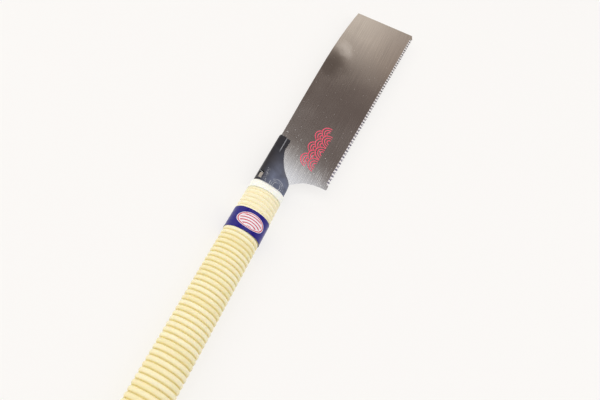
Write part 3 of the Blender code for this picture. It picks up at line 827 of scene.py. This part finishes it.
@dataclass
class WoundGrip:
    """The handle: a wooden core, a wound cord, a collar, an end cap and a film band."""

    half_width: float = 16.0 * MM
    half_depth: float = 12.1 * MM
    oval_steps: int = 120
    cord_pitch: float = 4.4 * MM
    cord_width: float = 4.36 * MM
    cord_thickness: float = 1.7 * MM
    cord_edge: float = 0.45 * MM
    cord_end_share: float = 0.18
    cord_end_swell: float = 0.35
    cord_steps: int = 64
    cord_facets: int = 15
    end_gap: float = 0.03 * MM
    collar_length: float = 10.3 * MM
    collar_rim: float = 0.8 * MM
    collar_wall: float = 1.0 * MM
    collar_dip: float = 1.4 * MM
    collar_bend: float = 0.85
    collar_steps: int = 37
    cap_length: float = 12.0 * MM
    cap_floor: float = 4.0 * MM
    cap_flat: float = 13.0 * MM
    cap_round: float = 5.0 * MM
    cap_lip: float = 0.3 * MM
    cap_steps: int = 16
    spigot_half_width: float = 12.86 * MM
    spigot_half_depth: float = 9.13 * MM
    holder_half_depth: float = 6.2 * MM
    holder_half_width: float = 15.0 * MM
    fit_gap: float = 0.3 * MM
    label_start: float = 33.2 * MM
    label_width: float = 20.5 * MM
    label_gap: float = 0.14 * MM
    label_dip: float = 0.03 * MM
    label_swell: float = 0.003
    # Angles by which the film laps and, before a full turn, starts to climb and is up, and its climb in
    # thicknesses of film.
    label_lap: float = 0.22
    label_ramp: Pair = (0.12, 0.01)
    label_climb: float = 1.15
    label_steps: int = 220
    label_columns: int = 42
    film: float = 0.12 * MM

    def wind_cord(self) -> bpy.types.Object:
        """Winds the cord round the core.

        Turn t runs from near 0 to the count of turns. The path is an oval helix, at angle 2 pi t, that drops
        one pitch a turn. The section is an arc of a circle over a flat base, carried square to the oval, and
        its width grows with t over the first turn and shrinks over the last, so both ends finish square.
        Both ends lie on the underside or near it.

        Returns:
            The winding.
        """
        front = HANDLE_LENGTH - self.collar_length - self.end_gap
        rear = self.cap_length + self.end_gap
        turns = (front - rear - self.cord_width) / self.cord_pitch + 2.0
        count = int(self.cord_steps * turns)
        turn = np.linspace(self.cord_end_share, turns - self.cord_end_share, count)
        taper = np.clip(np.minimum(turn, turns - turn), 0.0, 1.0)
        half = self.cord_width / 2
        from_front = front - self.cord_pitch * np.clip(turn - 1.0, 0.0, None) - half * taper
        from_rear = rear + self.cord_pitch * np.clip(turns - 1.0 - turn, 0.0, None) + half * taper
        along = np.where(turn < turns / 2, from_front, from_rear)
        angle = FULL_TURN * (turn - self.cord_end_share) - math.pi / 2
        seat_width = self.half_width - self.cord_thickness
        seat_depth = self.half_depth - self.cord_thickness
        seat = np.column_stack([along, seat_width * np.cos(angle), seat_depth * np.sin(angle)])
        normal = np.column_stack([np.zeros(count), seat_depth * np.cos(angle), seat_width * np.sin(angle)])
        normal /= np.linalg.norm(normal, axis=1, keepdims=True)
        crown = self.cord_thickness - self.cord_edge
        radius = (half * half + crown * crown) / (2.0 * crown)
        sweep = np.linspace(-1.0, 1.0, self.cord_facets) * math.asin(half / radius)
        side = np.concatenate([[-half], radius * np.sin(sweep), [half]])
        rise = np.concatenate([[0.0], self.cord_thickness - radius * (1.0 - np.cos(sweep)), [0.0]])
        forward = np.array([1.0, 0.0, 0.0])
        points = (
            seat[:, None, :]
            + taper[:, None, None] ** self.cord_end_swell * rise[None, :, None] * normal[:, None, :]
            + taper[:, None, None] * side[None, :, None] * forward
        )
        piece = grid_piece("wound_cord", points, Wrap.COLUMNS, capped=True, smooth_angle=60.0)
        depth = np.clip((self.cord_thickness - rise) / crown, 0.0, 1.0)
        tag_points(piece, "groove", np.broadcast_to(depth, (count, len(side))))
        tag_points(piece, "turn", np.broadcast_to(turn[:, None], (count, len(side))))
        return piece

    def turn_oval(self, name: str, rings: np.ndarray, wrap: Wrap, capped: bool) -> bpy.types.Object:
        """Carries a profile round the handle's middle line.

        Each row of rings is (x, half width a, half depth b, squareness p, dip d). Its loop is
        y = a c|c|^(p-1) and z = b s|s|^(p-1), with c and s the cosine and sine of the angle, and x falls
        back by d c^6 at the narrow sides.

        Args:
            name: the piece's name.
            rings: the profile's rows.
            wrap: which ends of the grid are joined.
            capped: closes the two open ends with flat faces.

        Returns:
            The piece.
        """
        angle = np.linspace(0.0, FULL_TURN, self.oval_steps, endpoint=False)
        x, width, depth, bend, dip = (rings[:, k:k + 1] for k in range(5))
        across = np.sign(np.cos(angle)) * np.abs(np.cos(angle)) ** bend
        up = np.sign(np.sin(angle)) * np.abs(np.sin(angle)) ** bend
        points = np.stack([x - dip * np.cos(angle) ** 6, width * across, depth * up], axis=-1)
        return grid_piece(name, points, wrap, capped=capped, smooth_angle=35.0)

    def mould_collar(self) -> bpy.types.Object:
        """Moulds the collar, whose shoulder closes from the full grip to the flat holder.

        The outside is a fair curve through a few oval rings, and the inside is a plain stepped hole.

        Returns:
            The collar.
        """
        width, depth, bend = self.half_width, self.half_depth, self.collar_bend
        lip = self.holder_half_depth + self.collar_wall
        outside = np.array([
            (-self.collar_length, width, depth, 1.0, 0.0),
            (-8.5 * MM, width, depth, 1.0, 0.0),
            (-6.7 * MM, width, 0.985 * depth, 1.0, 0.0),
            (-4.9 * MM, width, 0.94 * depth, 1.0, 0.3 * MM),
            (-3.1 * MM, width - 0.05 * MM, 0.82 * depth, 0.94, 0.7 * MM),
            (-1.7 * MM, width - 0.15 * MM, 0.68 * depth, 0.88, 1.1 * MM),
            (-self.collar_rim, width - 0.25 * MM, lip, bend, self.collar_dip),
        ])
        steps = np.linspace(0.0, len(outside) - 1.0, self.collar_steps)
        knots = np.arange(len(outside), dtype=float)
        skin = np.column_stack([fair_curve(steps, knots, values) for values in outside.T])
        hole_width = self.spigot_half_width + self.fit_gap
        hole_depth = self.spigot_half_depth + self.fit_gap
        mouth_depth = self.holder_half_depth + self.fit_gap
        inside = np.array([
            (-self.collar_rim, self.holder_half_width + self.fit_gap, mouth_depth, bend, self.collar_dip),
            (-3.0 * MM, self.holder_half_width - 0.8 * MM, mouth_depth, bend, 0.7 * MM),
            (-5.3 * MM, self.spigot_half_width, mouth_depth, bend, 0.0),
            (-6.2 * MM, hole_width, hole_depth, 1.0, 0.0),
            (-self.collar_length, hole_width, hole_depth, 1.0, 0.0),
        ])
        rings = np.vstack([skin, inside])
        rings[:, 0] += HANDLE_LENGTH
        return self.turn_oval("collar", rings, Wrap.BOTH, capped=False)

    def mould_cap(self) -> bpy.types.Object:
        """Moulds the cap: a cup over the end of the core, with a round edge and a flat butt.

        The edge is a quarter of an ellipse from the flat butt to the full width.

        Returns:
            The cap.
        """
        bow = np.linspace(0.0, math.pi / 2, self.cap_steps)
        swell = self.cap_flat + (self.half_width - self.cap_flat) * np.sin(bow)
        edge = np.column_stack([self.cap_round * (1.0 - np.cos(bow)), swell])
        hole = self.spigot_half_width + self.fit_gap
        rest = np.array([
            (self.cap_length - self.cap_lip, self.half_width),
            (self.cap_length, self.half_width - self.cap_lip),
            (self.cap_length, hole),
            (self.cap_floor, hole),
        ])
        x, width = np.vstack([edge, rest]).T
        depth = self.half_depth / self.half_width * width
        rings = np.column_stack([x, width, depth, np.ones(len(x)), np.zeros(len(x))])
        return self.turn_oval("butt_cap", rings, Wrap.COLUMNS, capped=True)

    def wrap_label(self) -> bpy.types.Object:
        """Wraps the film band round the winding.

        The film is a thin strip carried once round the oval and a little more. The last part climbs by one
        thickness of film to lie on the first, on the underside, and the whole dips slightly between turns.

        Returns:
            The band.
        """
        ratio = self.half_depth / self.half_width + self.label_swell
        sweep = np.linspace(0.0, FULL_TURN + self.label_lap, self.label_steps)
        angle = sweep - math.pi / 2
        start, end = self.label_ramp
        climb = self.label_climb * self.film * smooth_step(sweep, FULL_TURN - start, FULL_TURN - end)
        share = np.linspace(0.0, 1.0, self.label_columns)
        middle = 0.5 * (share[1:] + share[:-1])
        outline = np.concatenate([share, middle[::-1]])
        lift = np.concatenate([np.full(len(share), self.film), np.zeros(len(middle))])
        front = HANDLE_LENGTH - self.label_start
        x = front - self.label_width * (1.0 - outline)
        phase = FULL_TURN * (front - x)[None, :] / self.cord_pitch + angle[:, None]
        dip = self.label_dip * (1.0 + np.cos(phase))
        radius = self.half_width + self.label_gap + climb[:, None] + lift[None, :] - dip
        y = radius * np.cos(angle)[:, None]
        z = radius * ratio * np.sin(angle)[:, None]
        points = np.stack([np.broadcast_to(x, y.shape), y, z], axis=-1)
        piece = grid_piece("film_band", points, Wrap.COLUMNS, capped=True, smooth_angle=50.0)
        round_share = np.broadcast_to((sweep / FULL_TURN)[:, None], y.shape)
        lay_out(piece, "film", round_share, np.broadcast_to(outline, y.shape))
        return piece

    def build(self, nodes: dict[str, bpy.types.Object]) -> None:
        """Builds and dresses the handle.

        Args:
            nodes: the frame's nodes by name.
        """
        plastic = MouldedPlastic().make()
        dress(self.wind_cord(), ExtrudedVinyl().make(), Body.HANDLE, Slot.CREAM_VINYL, "grip_cord")
        dress(self.mould_collar(), plastic, Body.HANDLE, Slot.CREAM_PLASTIC, "front_collar")
        dress(self.mould_cap(), plastic, Body.HANDLE, Slot.CREAM_PLASTIC, "end_cap")
        dress(self.wrap_label(), PrintedFilm().make(), Body.HANDLE, Slot.BLUE_FILM, "label_band")
        repaint(nodes["handle_core"], PlanedPine().make())


@dataclass
class FoldedHolder:
    """The blade's holder: one sheet folded along the back, two spring leaves and the hook pin inside it."""

    sheet: float = 1.0 * MM
    flat: float = 1.45 * MM
    bulge: float = 6.2 * MM
    back: float = 15.0 * MM
    # The low step along the jaws: its rise, its brow, and where it starts from the fold and from the body.
    bead_rise: float = 0.35 * MM
    bead_edge: float = 7.8 * MM
    bead_half_edge: float = 0.4 * MM
    bead_fold: Pair = (0.3 * MM, 2.0 * MM)
    bead_front: Pair = (37.0 * MM, 43.0 * MM)
    # Swell of a section at which its free edge is drawn in by half a sheet, and the bevel of the rims.
    edge_swell: float = 3.0 * MM
    edge_round: float = 0.15 * MM
    edge_angle: float = 60.0
    # The window in each cheek: its start, its length and its two long sides.
    window_x: float = 2.3 * MM
    window_length: float = 8.5 * MM
    window_low: float = 10.5 * MM
    window_high: float = 13.8 * MM
    # Runs of sections in mm forward, each with its count.
    runs: tuple[tuple[float, float, int], ...] = (
        (57.0, 55.0, 5), (55.0, 12.0, 62), (12.0, 2.3, 15), (2.3, -12.0, 26), (-12.0, -45.0, 8)
    )
    # Steps across one cheek, closer steps near the fold with their share of it, and steps of a search.
    cheek_steps: int = 41
    fold_steps: int = 9
    fold_share: float = 0.12
    search_steps: int = 801
    leaf: float = 0.4 * MM
    leaf_gap: float = 0.01 * MM
    leaf_x: Pair = (1.0 * MM, 8.9 * MM)
    leaf_y: Pair = (14.05 * MM, 9.7 * MM)
    leaf_rows: int = 18
    leaf_columns: int = 16

    def rows(self) -> np.ndarray:
        """Sections from the tang to the jaws: forward, fold edge, free edge and half thickness.

        Returns:
            One row for each section, rising in the forward direction.
        """
        back, flat, bulge = self.back, self.flat, self.bulge
        table = np.array([
            (-45.0, back - 7.0 * MM, 7.0 * MM - back, flat),
            (-12.0, back - 5.3 * MM, 5.3 * MM - back, flat),
            (-9.0, back - 4.8 * MM, 4.8 * MM - back, flat + 0.12 * bulge),
            (-6.0, back - 3.5 * MM, 3.5 * MM - back, 0.58 * bulge),
            (-3.0, back - 1.4 * MM, 1.4 * MM - back, 0.87 * bulge),
            (0.0, back - 0.1 * MM, 0.1 * MM - back, bulge),
            (6.0, back, -back, flat + 0.74 * bulge),
            (12.3, back, 0.4 * MM - back, flat + 0.64 * bulge),
            (16.1, back, 2.4 * MM - back, flat + 0.55 * bulge),
            (22.4, back, -6.4 * MM, flat + 0.38 * bulge),
            (28.6, back, -2.0 * MM, flat + 0.20 * bulge),
            (34.3, back, 1.0 * MM, flat + 0.07 * bulge),
            (40.0, back, 3.0 * MM, flat + 0.05 * MM),
            (45.0, back, 4.0 * MM, flat),
            (55.0, back, 3.6 * MM, flat),
            (57.0, back - 0.4 * MM, 3.8 * MM, flat),
        ])
        table[:, 0] *= MM
        return table

    def surface(self, stations: np.ndarray, share: np.ndarray) -> tuple[np.ndarray, np.ndarray, np.ndarray]:
        """The middle of the folded sheet.

        Share s runs from 0 on the fold to 1 on the free edge of the upper cheek and -1 on the lower. Across
        the sheet y follows cos(pi s) from fold to edge. The height is a round bend at the fold, plus
        sin(pi s) times the swell of the section, plus a low step along the jaws.

        Args:
            stations: forward places of the sections.
            share: places across the sheet.

        Returns:
            The grids of y and z, and the free edge of each section.
        """
        table = self.rows()
        fold, free, thick = (fair_curve(stations, table[:, 0], table[:, k])[:, None] for k in (1, 2, 3))
        top = fold - self.sheet / 2
        free = free + self.sheet / 2 * np.minimum(1.0, (thick - self.flat) / self.edge_swell)
        y = (top + free) / 2 + (top - free) / 2 * np.cos(math.pi * share)
        bend = self.flat - self.sheet / 2
        fall = 1.0 - np.minimum(1.0, (top - y) / bend)
        height = bend * np.sqrt(np.clip(1.0 - fall * fall, 0.0, 1.0))
        height += (thick - self.sheet / 2 - bend) * np.sin(math.pi * np.abs(share))
        step = smooth_step(y, self.bead_edge - self.bead_half_edge, self.bead_edge + self.bead_half_edge)
        step = step * smooth_step(top - y, *self.bead_fold)
        step = step * smooth_step(stations, *self.bead_front)[:, None]
        return y, np.sign(share) * (height + self.bead_rise * step), free

    def share_at(self, forward: float, heights: Pair) -> np.ndarray:
        """Finds where the upper cheek's section at one place reaches two values of y.

        Args:
            forward: the section's place.
            heights: the values of y.

        Returns:
            The share across the sheet for each.
        """
        share = np.linspace(0.0, 1.0, self.search_steps)
        y = self.surface(np.array([forward]), share)[0][0]
        return np.interp(-np.array(heights), -y, share)

    def fold_sheet(self) -> bpy.types.Object:
        """Folds the sheet: its middle surface with the window's faces left out, then its thickness.

        Returns:
            The sheet.
        """
        window_end = self.window_x + self.window_length
        runs = [np.linspace(*run) for run in self.runs]
        stations = np.unique(np.concatenate([*runs, [window_end / MM]]).round(4)) * MM
        limits = self.share_at(self.window_x, (self.window_high, self.window_low))
        even = np.linspace(0.0, 1.0, self.cheek_steps)
        close = np.linspace(0.0, self.fold_share, self.fold_steps)
        half = np.unique(np.concatenate([even, close, limits]).round(6))
        share = np.concatenate([-half[:0:-1], half])
        y, z, free = self.surface(stations, share)
        x = np.broadcast_to(HANDLE_LENGTH + stations[:, None], y.shape)
        points = np.stack([x, y, z], axis=-1)
        mid_x = 0.5 * (stations[1:] + stations[:-1])[:, None]
        mid_share = np.abs(0.5 * (share[1:] + share[:-1]))[None, :]
        hole = (mid_x > self.window_x) & (mid_x < window_end)
        hole = hole & (mid_share > limits.min()) & (mid_share < limits.max())
        piece = grid_piece("folded_holder", points, keep=~hole, smooth_angle=50.0)
        # Each point's distance to the nearest edge of the sheet, the window's rim included.
        to_edge = np.minimum(y - free, (stations[-1] - stations)[:, None])
        half_length = self.window_length / 2
        half_height = (self.window_high - self.window_low) / 2
        beside = np.abs(stations - self.window_x - half_length)[:, None] - half_length
        above = np.abs(y - self.window_low - half_height) - half_height
        rim = np.abs(np.maximum(beside, above))
        tag_points(piece, "edge_mm", np.minimum(to_edge, rim) / MM)
        thicken(piece, self.sheet, even=True)
        soft = piece.modifiers.new("edges", "BEVEL")
        soft.width = self.edge_round
        soft.segments = 2
        soft.limit_method = "ANGLE"
        soft.angle_limit = math.radians(self.edge_angle)
        return piece

    def bend_leaf(self, name: str, cheek: float) -> bpy.types.Object:
        """Bends the thin spring leaf that shows in a cheek's window.

        The leaf is a patch of the sheet's surface, moved inwards along its normal until it lies on the inner
        face, and it stops short of the window's front.

        Args:
            name: the leaf's name.
            cheek: 1 for the upper cheek and -1 for the lower.

        Returns:
            The leaf.
        """
        stations = np.linspace(*self.leaf_x, self.leaf_rows)
        share = np.linspace(*self.share_at(self.window_x, self.leaf_y), self.leaf_columns)
        y, z, _ = self.surface(stations, share)
        along_y, along_z = np.gradient(y, axis=1), np.gradient(z, axis=1)
        inset = (self.sheet / 2 + self.leaf / 2 + self.leaf_gap) / np.hypot(along_y, along_z)
        y, z = y - inset * along_z, z + inset * along_y
        x = np.broadcast_to(HANDLE_LENGTH + stations[:, None], y.shape)
        points = np.stack([x, y, cheek * z], axis=-1)
        piece = grid_piece(name, points if cheek > 0 else points[:, ::-1])
        thicken(piece, self.leaf)
        return piece

    def build(self, nodes: dict[str, bpy.types.Object]) -> None:
        """Builds and dresses the holder and the small steel pieces.

        Args:
            nodes: the frame's nodes by name.
        """
        dress(self.fold_sheet(), StovedEnamel().make(), Body.HANDLE, Slot.PAINTED_STEEL, "blade_holder")
        wire = DrawnWire().make()
        dress(self.bend_leaf("spring_leaf_upper", 1.0), wire, Body.HANDLE, Slot.BARE_STEEL)
        dress(self.bend_leaf("spring_leaf_lower", -1.0), wire, Body.HANDLE, Slot.BARE_STEEL)
        for name in ("hook_pin", "pin_bush_upper", "pin_bush_lower", "shank_nail_front", "shank_nail_rear"):
            repaint(nodes[name], wire)


@dataclass
class ToothedBlade:
    """The blade, and the red wave print on its upper face."""

    face: float = 0.3 * MM
    ink: float = 0.02 * MM
    scale_radius: float = 8.2 * MM
    ring_shares: Point = (0.93, 0.62, 0.31)
    ring_steps: int = 65
    stroke: float = 0.95 * MM
    columns: int = 3
    lines: int = 3
    start_x: float = HANDLE_LENGTH + 41.0 * MM
    base_y: float = -27.0 * MM
    turn: float = -0.06

    def print_waves(self) -> bpy.types.Object:
        """Prints overlapping wave scales.

        Scale centres stand two radii apart in a line, and each line is shifted by one radius and set half a
        radius further up. Each scale has three rings, and a stretch of ring is kept where no scale of a
        lower line covers it.

        Returns:
            The print, a thin layer of ink.
        """
        radius = self.scale_radius
        line, column = (part.ravel() for part in np.mgrid[0:self.lines, 0:self.columns])
        x = (2.0 * column + line % 2 + 1.0) * radius
        y = line * radius * 0.5
        angle = np.linspace(0.0, math.pi, self.ring_steps)
        middle = radius * np.array(self.ring_shares)
        ring = middle[:, None] + np.array([-0.5, 0.5]) * self.stroke
        px = x[:, None, None, None] + ring[None, :, :, None] * np.cos(angle)
        py = y[:, None, None, None] + ring[None, :, :, None] * np.sin(angle)
        far = np.hypot(px.mean(axis=2)[..., None] - x, py.mean(axis=2)[..., None] - y)
        covered = ((far < radius) & (line[:, None, None, None] > line)).any(axis=-1)
        shown = ~(covered[..., 1:] | covered[..., :-1])
        index = np.arange(px.size).reshape(px.shape)
        inner, outer = index[:, :, 0], index[:, :, 1]
        quads = np.stack([inner[..., :-1], outer[..., :-1], outer[..., 1:], inner[..., 1:]], axis=-1)[shown]
        away, up = px.ravel(), py.ravel()
        cos, sin = math.cos(self.turn), math.sin(self.turn)
        points = np.column_stack([
            self.start_x + away * cos - up * sin,
            self.base_y + away * sin + up * cos,
            np.full(px.size, self.face + 0.5 * self.ink),
        ])
        used, faces = np.unique(quads, return_inverse=True)
        piece = new_piece("wave_print", points[used], faces.reshape(-1, 4).tolist())
        thicken(piece, self.ink)
        return piece

    def build(self, nodes: dict[str, bpy.types.Object]) -> None:
        """Dresses the blade and prints it.

        Args:
            nodes: the frame's nodes by name.
        """
        repaint(nodes["saw_blade"], BrushedSpringSteel().make())
        dress(self.print_waves(), ScreenInk().make(), Body.BLADE, Slot.BLADE_STEEL)


@dataclass
class Studio:
    """A pale floor, soft lights, the room and the camera."""

    floor_z: float
    floor_half: float = 4.0
    floor_colour: str = "#848483"
    floor_glow: str = "#fffdfb"
    floor_strength: float = 0.715
    box_aim: Point = (0.28, 0.0, 0.0)
    box_size: Pair = (1.6, 1.4)
    # The room's light: height of a direction, and the colours on the left and on the right.
    room: tuple[tuple[float, str, str], ...] = (
        (0.0, "#c4c4c4", "#c4c4c4"),
        (0.25, "#cfccc9", "#c4bfba"),
        (0.45, "#ebe3da", "#bdb0a6"),
        (0.620, "#f2e6d9", "#a09085"),
        (0.645, "#746863", "#776b66"),
        (0.781, "#746965", "#776c69"),
        (0.795, "#ffffff", "#ffffff"),
    )
    room_strength: float = 1.08
    room_lean: Pair = (-0.04, -0.18)
    room_tilt: float = 0.6
    tilt_heights: Pair = (0.6, 0.3)
    lens_mm: float = 31.483
    sensor_mm: float = 36.0
    nearest: float = 0.01
    camera_place: Point = (0.033548, 0.038703, 0.373644)
    camera_right: Point = (0.3750410739, -0.8307046485, 0.4114291918)
    camera_down: Point = (-0.7357481860, -0.5367337690, -0.4130272000)
    camera_forward: Point = (0.5639315558, -0.1478061168, -0.8124866474)

    def lay_floor(self) -> None:
        """Lays a large flat table of opal acrylic, a grid of four corners, lit a little from below."""
        side = np.array([-self.floor_half, self.floor_half])
        x, y = np.meshgrid(side, side, indexing="xy")
        floor = grid_piece("studio_floor", np.stack([x, y, np.full_like(x, self.floor_z)], axis=-1))
        material, _, _ = start_material("opal_acrylic", {
            "Base Color": self.floor_colour,
            "Roughness": 0.9,
            "Emission Color": self.floor_glow,
            "Emission Strength": self.floor_strength,
        })
        floor.data.materials.append(material)
        floor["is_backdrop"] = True

    def hang_light(self, name: str, place: Point, power: float, colour: str) -> None:
        """Hangs one soft box, which lights the saw but isn't mirrored in its blade.

        Args:
            name: the light's name.
            place: its middle.
            power: its output in watts.
            colour: its colour as sRGB hex.
        """
        lamp = bpy.data.lights.new(name, "AREA")
        lamp.shape = "RECTANGLE"
        lamp.size, lamp.size_y = self.box_size
        lamp.energy = power
        lamp.color = linear(colour)[:3]
        holder = bpy.data.objects.new(name, lamp)
        holder.visible_glossy = False
        holder.location = place
        holder.rotation_euler = (Vector(self.box_aim) - Vector(place)).to_track_quat("-Z", "Y").to_euler()
        bpy.context.scene.collection.objects.link(holder)

    def fill_room(self) -> None:
        """Fills the room with light: grey walls, paler higher up, a dark band and a bright ceiling.

        Two ramps over the height of a direction, one for the room's left and one for its right, are mixed by
        how far the direction leans to one side. Low down the room is brighter ahead of the saw than behind
        it, which rounds the turns of the cord.
        """
        world = bpy.data.worlds.new("studio_room")
        bpy.context.scene.world = world
        world.use_nodes = True
        add = partial(add_node, world.node_tree)
        x, y, z = add("SeparateXYZ", (add("TexCoord", out="Generated"),)).node.outputs
        ramps = []
        for side in (1, 2):
            ramp = add("ValToRGB", (z,))
            stops = ramp.node.color_ramp.elements
            stops.remove(stops[1])
            stops[0].color = linear(self.room[0][side])
            for stop in self.room[1:]:
                stops.new(stop[0]).color = linear(stop[side])
            ramps.append(ramp)
        lean = add("MapRange", (y, *self.room_lean), **SOFT)
        room = add("Mix", {0: lean, 6: ramps[0], 7: ramps[1]}, **BLEND)
        fade = add("MapRange", (z, *self.tilt_heights, 0.0, self.room_tilt), **SOFT)
        tilt = add("Math", (x, fade, 1.0), operation="MULTIPLY_ADD")
        strength = add("Math", (tilt, self.room_strength), operation="MULTIPLY")
        feed(world.node_tree.nodes["Background"], {"Color": room, "Strength": strength})

    def set_camera(self) -> None:
        """Sets the camera where the viewing angle was worked out from the blade's outline."""
        lens = bpy.data.cameras.new("view")
        lens.sensor_fit = "HORIZONTAL"
        lens.sensor_width = self.sensor_mm
        lens.lens = self.lens_mm
        lens.clip_start = self.nearest
        camera = bpy.data.objects.new("view", lens)
        axes = (Vector(self.camera_right), -Vector(self.camera_down), -Vector(self.camera_forward))
        turn = Matrix(axes).transposed().to_4x4()
        camera.matrix_world = Matrix.Translation(self.camera_place) @ turn
        bpy.context.scene.collection.objects.link(camera)
        bpy.context.scene.camera = camera

    def build(self) -> None:
        """Builds the studio."""
        self.lay_floor()
        self.fill_room()
        self.hang_light("key_box", (-0.2, 1.3, 1.4), 12.0, "#fffaf2")
        self.hang_light("fill_box", (0.3, -1.4, 1.2), 8.0, "#f6f8ff")
        self.set_camera()
        view = bpy.context.scene.view_settings
        view.view_transform = "Standard"
        view.look = "None"


def main() -> None:
    """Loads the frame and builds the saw's pieces in order."""
    logging.basicConfig(level=logging.INFO, format="%(name)s: %(message)s")
    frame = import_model()
    frame_box = [list(corner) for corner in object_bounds()]
    nodes = frame["nodes"]
    WoundGrip().build(nodes)
    FoldedHolder().build(nodes)
    ToothedBlade().build(nodes)
    dressed_box = [list(corner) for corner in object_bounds()]
    Studio(floor_z=min(frame_box[0][2], dressed_box[0][2])).build()
    LOG.info("box of the frame %s, box of the dressed saw %s", frame_box, dressed_box)


if __name__ == "__main__":
    main()
